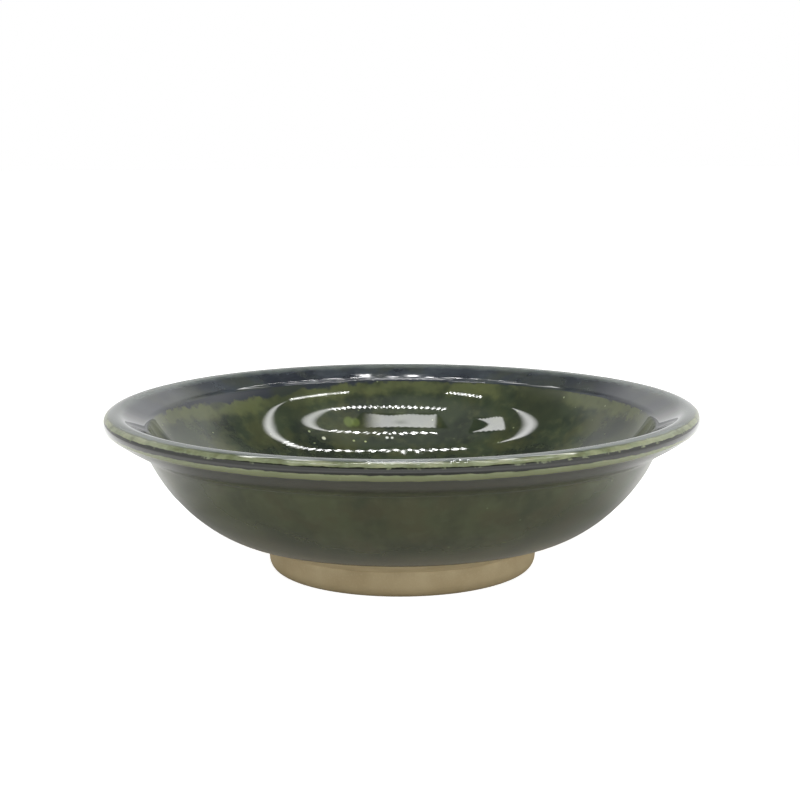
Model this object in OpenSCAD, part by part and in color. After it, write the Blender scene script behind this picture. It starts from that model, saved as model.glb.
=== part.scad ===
// A small wheel-thrown stoneware dish for soy sauce: a shallow bowl with a flared lip
// on a bare turned foot ring, glazed green with a grey-blue band inside the lip. The glaze
// stops a little way up the outside, so the clay round the foot is bare.
// Every piece is a full turn about the Z axis, and the dish stands on Z = 0.

/* [Dish] */
// Diameter across the finished lip
rim_d = 105; // [98:0.5:116]
// Height from the table to the top of the finished lip
dish_h = 29; // [27.5:0.25:33]
// Thickness of the fired glaze
glaze_t = 0.4; // [0.25:0.05:0.6]

/* [Lip] */
// Radius of the lip's rolled outer edge
edge_r = 1.45; // [1.2:0.05:1.7]
// Radius of the lip's broad rounded top
crown_r = 2.9; // [2.4:0.1:3.4]
// Width of the band inside the lip, from the edge in to the crease
band_w = 7.7; // [7:0.1:8.6]
// Slope of that band
band_a = 25.5; // [23:0.5:30]
// Radius that rounds the crease
crease_r = 1.6; // [1:0.1:2.4]
// Slope of the lip's underside where it meets the rolled edge
under_a = 36; // [32:1:40]
// Slope of the lip's underside where it leaves the neck
flare_a = 26; // [22:1:30]
// Width of the lip's overhang, from the edge in to the neck
flare_w = 7.3; // [6.8:0.1:8.2]
// Drop from the widest point of the lip to the neck
flare_drop = 5.2; // [4.8:0.1:5.8]
// Radius of the hollow at the neck
neck_r = 1.6; // [1.2:0.1:2]

/* [Wall] */
// Slope of the outer wall just under the neck
wall_top_a = 67; // [62:1:72]
// Slope of the bare clay round the foot, and of the wall where its glaze begins
wall_foot_a = 24; // [21:0.5:28]
// Width of the bare clay, from the foot up to the edge of the glaze
bare_w = 8.8; // [7:0.1:10]
// Reach of the outer wall's gentle start at the edge of the glaze
wall_low = 4; // [3:0.1:6]
// Reach of the outer wall's steep end at the neck
wall_high = 8; // [7:0.1:9.5]
// Slope of the inner wall just under the crease
inner_a = 62; // [58:0.5:65]
// Reach of the inner wall's steep stretch
inner_steep = 14.3; // [12:0.1:16]
// Reach of the flat stretch of the floor, from the centre out
floor_flat = 21; // [18:0.1:26]
// Thickness of the clay floor above the top of the foot
floor_t = 4.1; // [3.5:0.1:4.8]

/* [Throwing ridges] */
// Height of the soft ridges that the potter's finger left inside
ridge_h = 0.03; // [0.01:0.01:0.06]
// Distance from one ridge to the next, measured along the wall
ridge_pitch = 5.2; // [4:0.1:7]

/* [Foot] */
// Diameter of the foot ring where the wall meets it
foot_d = 47.6; // [44:0.2:51]
// Height of the foot ring
foot_h = 4.5; // [4:0.1:5.2]
// Inset of the foot's worn lower edge
foot_inset = 1.5; // [1:0.1:2]
// Height at which the foot's lower edge starts to curve in
worn_h = 2; // [1.4:0.1:2.6]
// Width of the flat face that the foot stands on
tread_w = 3.4; // [3:0.1:4.4]
// Inset of the hollow's side, which leans back from the tread to the floor
lean_w = 1.1; // [0.7:0.1:1.6]
// Sag of the clay underside in the middle of the hollow
belly_h = 0.5; // [0.2:0.1:0.8]

/* [Hidden] */
turn_fn = 180;
arc_steps = 9;
wall_steps = 20;
floor_steps = 50;
// Directions along the section are angles in the plane of radius and height
level_in = 180;
upright = 90;
// Where the tight roll of the edge gives way to the broad crown
roll_end_a = 150;
rim_r = rim_d / 2;
foot_r = foot_d / 2;
floor_z = foot_h + floor_t + glaze_t;
roll_c = [rim_r - edge_r, dish_h - crown_r * (1 + cos(roll_end_a)) + edge_r * cos(roll_end_a)];
crown_c = [roll_c[0] - (crown_r - edge_r) * sin(roll_end_a), dish_h - crown_r];
// The band's straight slope leaves the crown here and ends at the crease's corner
band_top = crown_c + crown_r * outward(level_in + band_a);
crease_run = band_top[0] - (rim_r - band_w);
crease = band_top - crease_run * [1, tan(band_a)];
crease_len = crease_r * tan((inner_a - band_a) / 2);
crease_in = crease + crease_len * along(band_a);
crease_out = crease - crease_len * along(inner_a);
// The neck's corner, where the slopes of the wall and of the underside would meet
neck = [rim_r - flare_w, roll_c[1] - flare_drop];
neck_len = neck_r * tan((wall_top_a - flare_a) / 2);
neck_low = neck - neck_len * along(wall_top_a);
neck_high = neck + neck_len * along(flare_a);
under_end = roll_c + edge_r * outward(under_a);
under_reach = norm(under_end - neck_high) / 3;
foot_corner = [foot_r, foot_h];
wall_start = foot_corner + bare_w * along(wall_foot_a) + glaze_t * outward(wall_foot_a);
ridge_count = floor(norm([crease_out[0], crease_out[1] - floor_z]) / ridge_pitch);
tread_r = foot_r - foot_inset;
hollow_r = tread_r - tread_w - lean_w;

// A unit step in direction a, and the one that points out of the clay beside it
function along(a) = [cos(a), sin(a)];
function outward(a) = [sin(a), -cos(a)];

// A section line is a list of [radius, height, direction], with the clay on its left.
// This one is a round arc about c with the clay inside it, from direction a to b.
function arc(c, r, a, b) = [
    for (i = [0:arc_steps]) let (d = a + (b - a) * i / arc_steps) station(c + r * outward(d), d)
];

function station(p, direction) = [p[0], p[1], direction];

// A hollow arc, which turns the other way round c
function hollow_arc(c, r, a, b) = [
    for (i = [0:arc_steps]) let (d = a + (b - a) * i / arc_steps) station(c - r * outward(d), d)
];

// A smooth stretch from p to q that starts in direction a and ends in direction b.
// The reaches say how far it keeps to each, and lift moves it off its own line.
function sweep(p, a, reach_a, q, b, reach_b, steps, lift = 0, waves = 0) =
    let (p1 = p + reach_a * along(a), q1 = q - reach_b * along(b))
    [
        for (i = [0:steps])
            let (t = i / steps, u = 1 - t)
            let (at = u * u * u * p + 3 * t * u * u * p1 + 3 * t * t * u * q1 + t * t * t * q)
            let (way = u * u * (p1 - p) + 2 * t * u * (q1 - p1) + t * t * (q - q1))
            let (d = atan2(way[1], way[0]), rise = lift * 4 * t * u * sin(360 * waves * t))
            station(at + rise * outward(d), d)
    ];

// The line's own points, and the same line sunk by one glaze thickness to the clay
function face(line) = [for (s = line) [s[0], s[1]]];
function clay(line) = [for (s = line) [s[0], s[1]] - glaze_t * outward(s[2])];
function reversed(list) = [for (i = [len(list) - 1:-1:0]) list[i]];

// The finished surface, from the edge of the glaze up and over the lip and down to the middle
outer_line = concat(
    sweep(wall_start, wall_foot_a, wall_low, neck_low, wall_top_a, wall_high, wall_steps),
    hollow_arc(neck_low + neck_r * outward(wall_top_a), neck_r, wall_top_a, flare_a),
    sweep(neck_high, flare_a, under_reach, under_end, under_a, under_reach, arc_steps)
);
lip_line = concat(
    arc(roll_c, edge_r, under_a, roll_end_a),
    arc(crown_c, crown_r, roll_end_a, level_in)
);
band_line = concat(
    arc(crown_c, crown_r, level_in, level_in + band_a),
    arc(
        crease_in - crease_r * outward(level_in + band_a), crease_r,
        level_in + band_a, level_in + inner_a
    )
);
inner_line = sweep(
    crease_out, level_in + inner_a, inner_steep,
    [0, floor_z], level_in, floor_flat, floor_steps, ridge_h, ridge_count
);

// A coat of glaze, as thick as the gap between the finished line and the clay
module coat(line) {
    rotate_extrude($fn = turn_fn)
        polygon(concat(face(line), reversed(clay(line))));
}

// The thrown clay body: floor, wall and lip in one piece, bare round the foot, with its
// underside turned to a low belly
module bowl() {
    underside = [
        for (i = [0:arc_steps])
            let (a = upright * i / arc_steps)
            [hollow_r * sin(a), foot_h - belly_h * cos(a)]
    ];
    color("#8b7d5f")
        rotate_extrude($fn = turn_fn)
            polygon(concat(
                underside, [foot_corner],
                clay(outer_line), clay(lip_line), clay(band_line), clay(inner_line)
            ));
}

// The bare foot ring, worn round at its outer lower edge and leaning back round the hollow
module foot_ring() {
    worn_edge = [
        for (i = [0:arc_steps])
            let (a = upright * i / arc_steps)
            [tread_r + foot_inset * sin(a), worn_h * (1 - cos(a))]
    ];
    color("#988f74")
        rotate_extrude($fn = turn_fn)
            polygon(concat(
                [[hollow_r, foot_h], [tread_r - tread_w, 0]], worn_edge, [foot_corner]
            ));
}

// Green glaze poured inside, over the floor and wall up to the crease
module inner_glaze() {
    color("#424a30") coat(inner_line);
}

// Grey-blue glaze on the band between the crease and the top of the lip
module band_glaze() {
    color("#45494d") coat(band_line);
}

// The glaze that thins and turns yellow-green where it breaks over the lip's edge
module lip_glaze() {
    color("#828776") coat(lip_line);
}

// Dark green glaze on the outside, from the lip's underside down to the bare clay
module outer_glaze() {
    color("#46483a") coat(outer_line);
}

bowl();
foot_ring();
inner_glaze();
band_glaze();
lip_glaze();
outer_glaze();
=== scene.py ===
"""Dresses a small wheel-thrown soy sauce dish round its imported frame.

The whole finished surface of the dish is worked out as one grid, station by station along
the section and column by column round the axis, and is then cut into the coats of glaze, so
that they meet without a seam. Lengths in the classes are in millimetres and angles in
degrees unless a name says otherwise. Meshes are written in metres.
"""
import logging
import math
from dataclasses import dataclass, field
from enum import Enum

import bpy
import numpy as np
from mathutils import Matrix, Vector


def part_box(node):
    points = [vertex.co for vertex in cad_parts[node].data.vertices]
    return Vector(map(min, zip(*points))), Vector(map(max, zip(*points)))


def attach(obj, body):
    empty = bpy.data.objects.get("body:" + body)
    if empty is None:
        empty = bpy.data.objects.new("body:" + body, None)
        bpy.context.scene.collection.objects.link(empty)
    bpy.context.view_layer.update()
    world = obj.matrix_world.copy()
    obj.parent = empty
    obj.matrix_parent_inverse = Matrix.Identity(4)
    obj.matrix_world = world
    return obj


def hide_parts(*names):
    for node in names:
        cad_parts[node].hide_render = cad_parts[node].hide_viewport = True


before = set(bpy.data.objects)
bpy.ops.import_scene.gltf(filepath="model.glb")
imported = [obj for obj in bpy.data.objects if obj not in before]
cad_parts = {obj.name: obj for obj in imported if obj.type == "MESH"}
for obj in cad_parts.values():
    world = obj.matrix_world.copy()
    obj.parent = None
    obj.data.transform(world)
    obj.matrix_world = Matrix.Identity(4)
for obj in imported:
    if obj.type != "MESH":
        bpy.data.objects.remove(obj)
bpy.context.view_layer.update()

MM = 0.001
FRAME_PX = 800
SENSOR_MM = 36.0
ARC_STATIONS = 120
SWEEP_STATIONS = 800
RING_STATIONS = 2881
SMOOTH = {"interpolation_type": "SMOOTHSTEP"}
log = logging.getLogger("dish")

Tree = bpy.types.NodeTree
Socket = bpy.types.NodeSocket
# A plain colour, or the socket that gives one
Paint = Socket | tuple[float, float, float, float]
# Points, corner numbers and shares of the glow
Faces = tuple[np.ndarray, np.ndarray, np.ndarray]


class Zone(Enum):
    """The coats that the finished surface is cut into, in order along the section."""

    OUTER = "outer_glaze"
    LIP = "lip_glaze"
    BAND = "band_glaze"
    INNER = "inner_glaze"


def heading(angle: float) -> np.ndarray:
    """Gives the unit step in radius and height in a direction of the section plane."""
    return np.array([math.cos(math.radians(angle)), math.sin(math.radians(angle))])


def outward(angle: float) -> np.ndarray:
    """Gives the unit step out of the clay beside a line that runs in a direction."""
    return np.array([math.sin(math.radians(angle)), -math.cos(math.radians(angle))])


def arc(centre: np.ndarray, radius: float, start: float, end: float, hollow: bool = False) -> np.ndarray:
    """Works out a round stretch of the section.

    A point lies at the centre plus the radius times the outward step of its direction, or
    minus it where the arc is hollow.

    Args:
        centre: middle of the circle.
        radius: its radius.
        start: direction of the line at its start.
        end: direction at its end.
        hollow: True where the clay lies outside the circle.

    Returns:
        Rows of radius, height and direction in radians.
    """
    turn = np.radians(np.linspace(start, end, ARC_STATIONS))
    side = -radius if hollow else radius
    return np.stack([centre[0] + side * np.sin(turn), centre[1] - side * np.cos(turn), turn], axis=1)


def sweep(p: np.ndarray, a: float, reach_a: float, q: np.ndarray, b: float, reach_b: float) -> np.ndarray:
    """Works out a smooth stretch of the section as a cubic curve.

    Args:
        p: start of the stretch.
        a: direction there.
        reach_a: how far the curve keeps to that direction.
        q: end of the stretch.
        b: direction there.
        reach_b: how far the curve keeps to that one.

    Returns:
        Rows of radius, height and direction in radians.
    """
    t = np.linspace(0.0, 1.0, SWEEP_STATIONS)[:, None]
    p1 = p + reach_a * heading(a)
    q1 = q - reach_b * heading(b)
    at = (1 - t) ** 3 * p + 3 * t * (1 - t) ** 2 * p1 + 3 * t**2 * (1 - t) * q1 + t**3 * q
    way = (1 - t) ** 2 * (p1 - p) + 2 * t * (1 - t) * (q1 - p1) + t**2 * (q - q1)
    turn = np.unwrap(np.arctan2(way[:, 1], way[:, 0]))
    turn += 2 * math.pi * round((math.radians(a) - turn[0]) / (2 * math.pi))
    return np.column_stack([at, turn])


def smooth(reach: np.ndarray) -> np.ndarray:
    """Turns a share of the way over an edge into a smooth step from nothing to one."""
    clipped = np.clip(reach, 0, 1)
    return clipped**2 * (3 - 2 * clipped)


def run_length(line: np.ndarray) -> np.ndarray:
    """Gives the distance of every station from the start of its line."""
    step = np.hypot(np.diff(line[:, 0]), np.diff(line[:, 1]))
    return np.concatenate([[0.0], np.cumsum(step)])


def resampled(line: np.ndarray, count: int) -> np.ndarray:
    """Spaces a line's stations evenly by their distance along it.

    Args:
        line: rows of radius, height and direction.
        count: number of stations wanted.

    Returns:
        As many rows of the same kind.
    """
    along = run_length(line)
    want = np.linspace(0.0, along[-1], count)
    return np.stack([np.interp(want, along, line[:, k]) for k in range(3)], axis=1)


def facing(way: np.ndarray) -> np.ndarray:
    """Gives the steps out of the clay, in radius and height, for directions in radians."""
    return np.stack([np.sin(way), -np.cos(way)], axis=1)


def turned(line: np.ndarray, theta: np.ndarray) -> np.ndarray:
    """Turns rows of radius and height round the axis into rings of points or of steps."""
    radius, height = line[:, 0, None], line[:, 1, None]
    return np.stack([radius * np.cos(theta), radius * np.sin(theta), height + 0 * theta], axis=2)


def grid_quads(rows: int, columns: int) -> np.ndarray:
    """Gives the corner numbers of the quads of a flat grid of points, row by row."""
    here = np.arange(rows - 1)[:, None] * columns + np.arange(columns - 1)[None, :]
    return np.stack([here, here + 1, here + columns + 1, here + columns], axis=2).reshape(-1, 4)


@dataclass(frozen=True)
class Section:
    """The finished section, from the foot up and over the lip and down to the middle.

    The overall sizes come from the frame, and the rest are the sizes of the frame's own
    section.
    """

    rim_r: float
    top_z: float
    foot_r: float
    foot_h: float
    glaze_t: float = 0.4
    edge_r: float = 1.45
    crown_r: float = 2.9
    roll_end: float = 150.0
    band_w: float = 7.7
    band_a: float = 25.5
    crease_r: float = 1.6
    under_a: float = 36.0
    flare_a: float = 26.0
    flare_w: float = 7.3
    flare_drop: float = 5.2
    neck_r: float = 1.6
    wall_top_a: float = 67.0
    wall_foot_a: float = 24.0
    bare_w: float = 8.8
    wall_low: float = 4.0
    wall_high: float = 8.0
    inner_a: float = 62.0
    inner_steep: float = 14.3
    floor_flat: float = 21.0
    floor_t: float = 4.1

    @classmethod
    def from_frame(cls) -> "Section":
        """Reads the overall sizes off the frame's nodes.

        Returns:
            The section at the frame's size.
        """
        lip_low, lip_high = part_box("lip_glaze")
        foot_low, foot_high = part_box("foot_ring")
        return cls(
            rim_r=(lip_high[0] - lip_low[0]) / 2 / MM,
            top_z=lip_high[2] / MM,
            foot_r=(foot_high[0] - foot_low[0]) / 2 / MM,
            foot_h=foot_high[2] / MM,
        )

    @property
    def roll_c(self) -> np.ndarray:
        """Middle of the lip's tight outer roll.

        Returns:
            Its radius and height.
        """
        turn = math.cos(math.radians(self.roll_end))
        height = self.top_z - self.crown_r * (1 + turn) + self.edge_r * turn
        return np.array([self.rim_r - self.edge_r, height])

    @property
    def crown_c(self) -> np.ndarray:
        """Middle of the lip's broad top."""
        step = (self.crown_r - self.edge_r) * math.sin(math.radians(self.roll_end))
        return np.array([self.roll_c[0] - step, self.top_z - self.crown_r])

    @property
    def crease(self) -> np.ndarray:
        """The corner where the slopes of the band and of the inner wall would meet.

        Returns:
            Its radius and height.
        """
        top = self.crown_c + self.crown_r * outward(180 + self.band_a)
        run = top[0] - (self.rim_r - self.band_w)
        return top - run * np.array([1.0, math.tan(math.radians(self.band_a))])

    @property
    def crease_len(self) -> float:
        """Distance from the crease's corner to each end of its round."""
        return self.crease_r * math.tan(math.radians(self.inner_a - self.band_a) / 2)

    @property
    def glaze_edge(self) -> np.ndarray:
        """The point of the clay where the outer glaze begins, up from the foot's corner."""
        return np.array([self.foot_r, self.foot_h]) + self.bare_w * heading(self.wall_foot_a)

    def outer(self) -> np.ndarray:
        """Works out the outside, from the edge of the glaze up to the lip's rolled edge.

        Returns:
            Rows of radius, height and direction in radians.
        """
        start = self.glaze_edge + self.glaze_t * outward(self.wall_foot_a)
        neck = np.array([self.rim_r - self.flare_w, self.roll_c[1] - self.flare_drop])
        neck_len = self.neck_r * math.tan(math.radians(self.wall_top_a - self.flare_a) / 2)
        low = neck - neck_len * heading(self.wall_top_a)
        high = neck + neck_len * heading(self.flare_a)
        end = self.roll_c + self.edge_r * outward(self.under_a)
        reach = float(np.linalg.norm(end - high)) / 3
        hollow_c = low + self.neck_r * outward(self.wall_top_a)
        return np.concatenate([
            sweep(start, self.wall_foot_a, self.wall_low, low, self.wall_top_a, self.wall_high),
            arc(hollow_c, self.neck_r, self.wall_top_a, self.flare_a, hollow=True)[1:],
            sweep(high, self.flare_a, reach, end, self.under_a, reach)[1:],
        ])

    def lip(self) -> np.ndarray:
        """Works out the rolled edge and the outer half of the crown."""
        return np.concatenate([
            arc(self.roll_c, self.edge_r, self.under_a, self.roll_end),
            arc(self.crown_c, self.crown_r, self.roll_end, 180.0)[1:],
        ])

    def band(self) -> np.ndarray:
        """Works out the inner half of the crown, the band and the round of the crease.

        Returns:
            Rows of radius, height and direction in radians.
        """
        crease_in = self.crease + self.crease_len * heading(self.band_a)
        crease_c = crease_in - self.crease_r * outward(180 + self.band_a)
        return np.concatenate([
            arc(self.crown_c, self.crown_r, 180.0, 180 + self.band_a),
            arc(crease_c, self.crease_r, 180 + self.band_a, 180 + self.inner_a),
        ])

    def inner(self) -> np.ndarray:
        """Works out the inner wall and the floor, down to the middle.

        Returns:
            Rows of radius, height and direction in radians.
        """
        start = self.crease - self.crease_len * heading(self.inner_a)
        middle = np.array([0.0, self.foot_h + self.floor_t + self.glaze_t])
        return sweep(start, 180 + self.inner_a, self.inner_steep, middle, 180.0, self.floor_flat)

    def line(self, zone: Zone) -> np.ndarray:
        """Gives the line of one coat."""
        lines = {Zone.OUTER: self.outer, Zone.LIP: self.lip, Zone.BAND: self.band, Zone.INNER: self.inner}
        return lines[zone]()


@dataclass(frozen=True)
class HandMarks:
    """What the potter's hands and the kiln left on the surface.

    There are soft throwing ridges in a spiral and a slow unevenness, both as heights over
    the surface, a warp and an oval of the rim, and the run of the band's glaze, whose middle
    and half width are turns round the axis.
    """

    seed: int = 7
    wave_count: int = 12
    most_turns: int = 12
    ridge_h: float = 0.012
    ridge_pitch: float = 5.2
    uneven_h: float = 0.012
    uneven_pitch: float = 9.0
    warp_h: float = 0.14
    oval_share: float = 0.0012
    oval_turn: float = 0.6
    run_d: float = 2.0
    run_middle: float = 132.0
    run_half: float = 42.0

    def waves(self, theta: np.ndarray, along: np.ndarray, salt: int) -> np.ndarray:
        """Adds seeded cosine waves over the surface.

        Each wave has a whole number of turns round the dish, so that the surface closes.

        Args:
            theta: angle of every column.
            along: distance of every row along the section.
            salt: number that sets this sum apart from the others.

        Returns:
            Heights of about one, by row and column.
        """
        dice = np.random.default_rng([self.seed, salt])
        total = np.zeros((along.size, theta.size))
        for _ in range(self.wave_count):
            turns = dice.integers(1, self.most_turns)
            rate = 2 * math.pi / self.uneven_pitch * dice.uniform(0.5, 1.5)
            phase = dice.uniform(0, 2 * math.pi, 2)
            round_wave = np.cos(turns * theta + phase[0])
            total += round_wave[None, :] * np.cos(rate * along + phase[1])[:, None]
        return total / math.sqrt(self.wave_count)

    def relief(self, zone: Zone, theta: np.ndarray, along: np.ndarray) -> np.ndarray:
        """Gives the height of the marks over one zone of the section.

        Args:
            zone: the coat that the rows belong to.
            theta: angle of every column, in radians.
            along: distance of every row from the start of the zone.

        Returns:
            Heights in millimetres, by row and column, fading out at the ends of the zone.
        """
        share = along / along[-1]
        fade = (np.sin(np.pi * share) ** 2)[:, None]
        spiral = np.cos(2 * math.pi * along[:, None] / self.ridge_pitch + theta[None, :])
        ridges = self.ridge_h if zone in (Zone.INNER, Zone.OUTER) else 0.0
        return fade * (ridges * spiral + self.uneven_h * self.waves(theta, along, list(Zone).index(zone)))

    def run(self, theta: np.ndarray) -> np.ndarray:
        """Gives how far the band's glaze ran down past the crease on one side.

        Round the axis the run is the squared cosine of the share of the way from its middle
        to its end.

        Args:
            theta: angle of every column, in radians.

        Returns:
            Distances down the wall in millimetres, by column.
        """
        turn = np.clip((np.degrees(theta) - self.run_middle) / self.run_half, -1, 1)
        return self.run_d * np.cos(math.pi / 2 * turn) ** 2

    def shaped(
        self, radius: np.ndarray, height: np.ndarray, theta: np.ndarray, top: float
    ) -> tuple[np.ndarray, np.ndarray]:
        """Makes the round slightly oval and lets the rim dip where the kiln let it.

        Both grow with the square of the height. The oval has two waves round the axis, and
        the dip has two that grow toward the back.

        Args:
            radius: radii of the true round.
            height: heights over the table.
            theta: angles, in radians.
            top: height of the rim.

        Returns:
            The changed radii and heights, never past the true ones.
        """
        rim_share = np.clip(height / top, 0, 1) ** 2
        oval = 1 - self.oval_share * rim_share * (1 + np.cos(2 * theta - self.oval_turn))
        dip = self.warp_h * rim_share * (1 + np.sin(2 * theta)) * (1 + np.sin(theta)) / 2
        return radius * oval, height - dip


@dataclass
class Skin:
    """The whole finished surface as one grid of stations and columns."""

    section: Section
    marks: HandMarks
    columns: int = 768
    rows: dict[Zone, int] = field(
        default_factory=lambda: {Zone.OUTER: 84, Zone.LIP: 26, Zone.BAND: 34, Zone.INNER: 110}
    )

    def __post_init__(self) -> None:
        """Works out the grid of points and of normals, and the clay under it."""
        self.theta = np.linspace(0, 2 * math.pi, self.columns, endpoint=False)
        self.span: dict[Zone, tuple[int, int]] = {}
        lines = []
        reliefs = []
        start = 0
        for zone in Zone:
            line = resampled(self.section.line(zone), self.rows[zone])
            relief = self.marks.relief(zone, self.theta, run_length(line))
            skip = 1 if lines else 0
            lines.append(line[skip:])
            reliefs.append(relief[skip:])
            self.span[zone] = (start, start + len(line) - 1)
            start += len(line) - 1
        line = np.concatenate(lines)
        relief = np.concatenate(reliefs)
        self.along = run_length(line)
        self.points = self.placed(line, relief)
        self.clay = self.placed(line, np.full_like(relief, -self.section.glaze_t))
        self.normals = self.worked_normals()

    def placed(self, line: np.ndarray, relief: np.ndarray) -> np.ndarray:
        """Turns a line and its relief into points in space.

        A station's radius and height move along its own outward step by the relief. The
        hand's oval and dip follow, and the column's angle turns the result round the axis.

        Args:
            line: rows of radius, height and direction.
            relief: heights over the line, by row and column.

        Returns:
            Points in millimetres, by row and column.
        """
        radius = line[:, 0, None] + relief * np.sin(line[:, 2, None])
        height = line[:, 1, None] - relief * np.cos(line[:, 2, None])
        theta = np.broadcast_to(self.theta, relief.shape)
        radius, height = self.marks.shaped(np.maximum(radius, 0.0), height, theta, self.section.top_z)
        return np.stack([radius * np.cos(theta), radius * np.sin(theta), height], axis=2)

    def worked_normals(self) -> np.ndarray:
        """Works out the normals as the cross product of the grid's two slopes.

        Returns:
            Unit steps out of the surface, by row and column.
        """
        along = np.gradient(self.points, self.along, axis=0, edge_order=2)
        around = np.roll(self.points, -1, axis=1) - np.roll(self.points, 1, axis=1)
        cross = np.cross(around, along)
        cross[-1] = (0, 0, 1)
        return cross / np.maximum(np.linalg.norm(cross, axis=2, keepdims=True), 1e-12)


@dataclass
class Shell:
    """Rings of points that are joined, one to the next, into a closed skin.

    Each joint between two rings has its own normals at its lower and its upper ring, so that
    a face and the edge beside it can keep a sharp corner between them.
    """

    rings: np.ndarray
    lower: np.ndarray
    upper: np.ndarray
    poles: tuple[np.ndarray, ...] = ()

    def mesh_object(self, name: str, values: dict[str, np.ndarray] | None = None) -> bpy.types.Object:
        """Makes the shell a mesh object at the origin.

        Without poles the last ring joins the first one. With two poles the first and the
        last ring close on them.

        Args:
            name: name of the piece.
            values: for each named attribute, its value at every point of the rings.

        Returns:
            The object, linked to the scene.
        """
        count, columns = self.rings.shape[:2]
        joints = count - 1 if self.poles else count
        here = np.arange(columns)
        after = (here + 1) % columns
        low = np.arange(joints)[:, None] * columns
        high = (np.arange(joints)[:, None] + 1) % count * columns
        quads = np.stack([low + here, low + after, high + after, high + here], axis=2).reshape(-1, 4)
        corner_n = [self.lower, self.lower[:, after], self.upper[:, after], self.upper]
        normals = [np.stack(corner_n, axis=2).reshape(-1, 3)]
        points = [self.rings.reshape(-1, 3)]
        tris = np.zeros((0, 3), int)
        if self.poles:
            points.append(np.array(self.poles))
            first, last = count * columns, count * columns + 1
            top = (count - 1) * columns
            start_fan = np.stack([np.full(columns, first), after, here], axis=1)
            end_fan = np.stack([top + here, top + after, np.full(columns, last)], axis=1)
            tris = np.concatenate([start_fan, end_fan])
            normals.append(np.repeat([self.lower[0, 0]], columns * 3, axis=0))
            normals.append(np.repeat([self.upper[-1, 0]], columns * 3, axis=0))
        at_poles = np.zeros(len(self.poles))
        filled = {key: np.concatenate([value.ravel(), at_poles]) for key, value in (values or {}).items()}
        return mesh_object(name, np.concatenate(points), quads, tris, np.concatenate(normals), filled)


def mesh_object(
    name: str,
    points: np.ndarray,
    quads: np.ndarray,
    tris: np.ndarray | None = None,
    normals: np.ndarray | None = None,
    values: dict[str, np.ndarray] | None = None,
) -> bpy.types.Object:
    """Makes a mesh object at the origin from arrays.

    Args:
        name: name of the object.
        points: corners in millimetres.
        quads: corner numbers of the four-sided faces.
        tris: corner numbers of the three-sided faces.
        normals: a normal for each corner of each face, in the order of the faces.
        values: for each named attribute, its value at every point.

    Returns:
        The object, linked to the scene.
    """
    mesh = bpy.data.meshes.new(name)
    tris = np.zeros((0, 3), int) if tris is None else tris
    corners = np.concatenate([quads.ravel(), tris.ravel()]).astype(np.int32)
    starts = np.concatenate([np.arange(len(quads)) * 4, len(quads) * 4 + np.arange(len(tris)) * 3])
    mesh.vertices.add(len(points))
    mesh.vertices.foreach_set("co", (points * MM).astype(np.float32).ravel())
    mesh.loops.add(len(corners))
    mesh.loops.foreach_set("vertex_index", corners)
    mesh.polygons.add(len(starts))
    mesh.polygons.foreach_set("loop_start", starts.astype(np.int32))
    for key, value in (values or {}).items():
        layer = mesh.attributes.new(key, "FLOAT", "POINT")
        layer.data.foreach_set("value", value.astype(np.float32))
    mesh.update(calc_edges=True)
    if normals is not None:
        mesh.shade_smooth()
        mesh.normals_split_custom_set(normals.astype(np.float32))
    made = bpy.data.objects.new(name, mesh)
    bpy.context.scene.collection.objects.link(made)
    return made


def srgb(code: str) -> tuple[float, float, float, float]:
    """Turns an sRGB hex colour into the linear one that a shader takes.

    Args:
        code: a hash and six hex digits.

    Returns:
        Linear red, green and blue, and one.
    """
    parts = [int(code[i:i + 2], 16) / 255 for i in (1, 3, 5)]
    linear = [c / 12.92 if c <= 0.04045 else ((c + 0.055) / 1.055) ** 2.4 for c in parts]
    return (linear[0], linear[1], linear[2], 1.0)


def add_node(tree: Tree, kind: str, values: dict | None = None) -> bpy.types.Node:
    """Adds a node with its settings and links.

    Args:
        tree: the node tree.
        kind: the node's type, without its leading word.
        values: by the node's own attribute, or by input name or number, a plain value or the
            socket that feeds it. A node there stands for its first output.

    Returns:
        The node.
    """
    made = tree.nodes.new("ShaderNode" + kind)
    for key, value in (values or {}).items():
        source = value.outputs[0] if isinstance(value, bpy.types.Node) else value
        if isinstance(source, Socket):
            tree.links.new(source, made.inputs[key])
        elif isinstance(key, str) and hasattr(made, key):
            setattr(made, key, source)
        else:
            made.inputs[key].default_value = source
    return made


def empty_material(name: str) -> tuple[bpy.types.Material, Tree]:
    """Makes a material with an empty node tree.

    Args:
        name: name of the material.

    Returns:
        The material and its tree.
    """
    made = bpy.data.materials.new(name)
    made.use_nodes = True
    made.node_tree.nodes.clear()
    return made, made.node_tree


def tinted(tree: Tree, colour: Paint, tint: str, edges: dict, value: Socket | bpy.types.Node) -> Socket:
    """Lays a tint over a colour where a value passes between two edges.

    Args:
        tree: the node tree.
        colour: the colour so far.
        tint: the hex colour on top.
        edges: where the tint's share starts and ends, and how much it is there.
        value: what the share depends on.

    Returns:
        The new colour.
    """
    share = add_node(tree, "MapRange", edges | {"Value": value})
    layers = {"data_type": "RGBA", 0: share, 6: colour, 7: srgb(tint)}
    return add_node(tree, "Mix", layers).outputs[2]


@dataclass(frozen=True)
class Cloud:
    """A layer of another tint, which shows where a cloud noise is high.

    The clouds are about size millimetres wide. The layer starts where the noise passes thin
    and has its whole share past full. A layer that is aside reads the noise in another
    place, so that two layers don't line up.
    """

    tint: str
    size: float
    thin: float
    full: float
    share: float = 1.0
    detail: float = 3.0
    aside: bool = False


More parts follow.
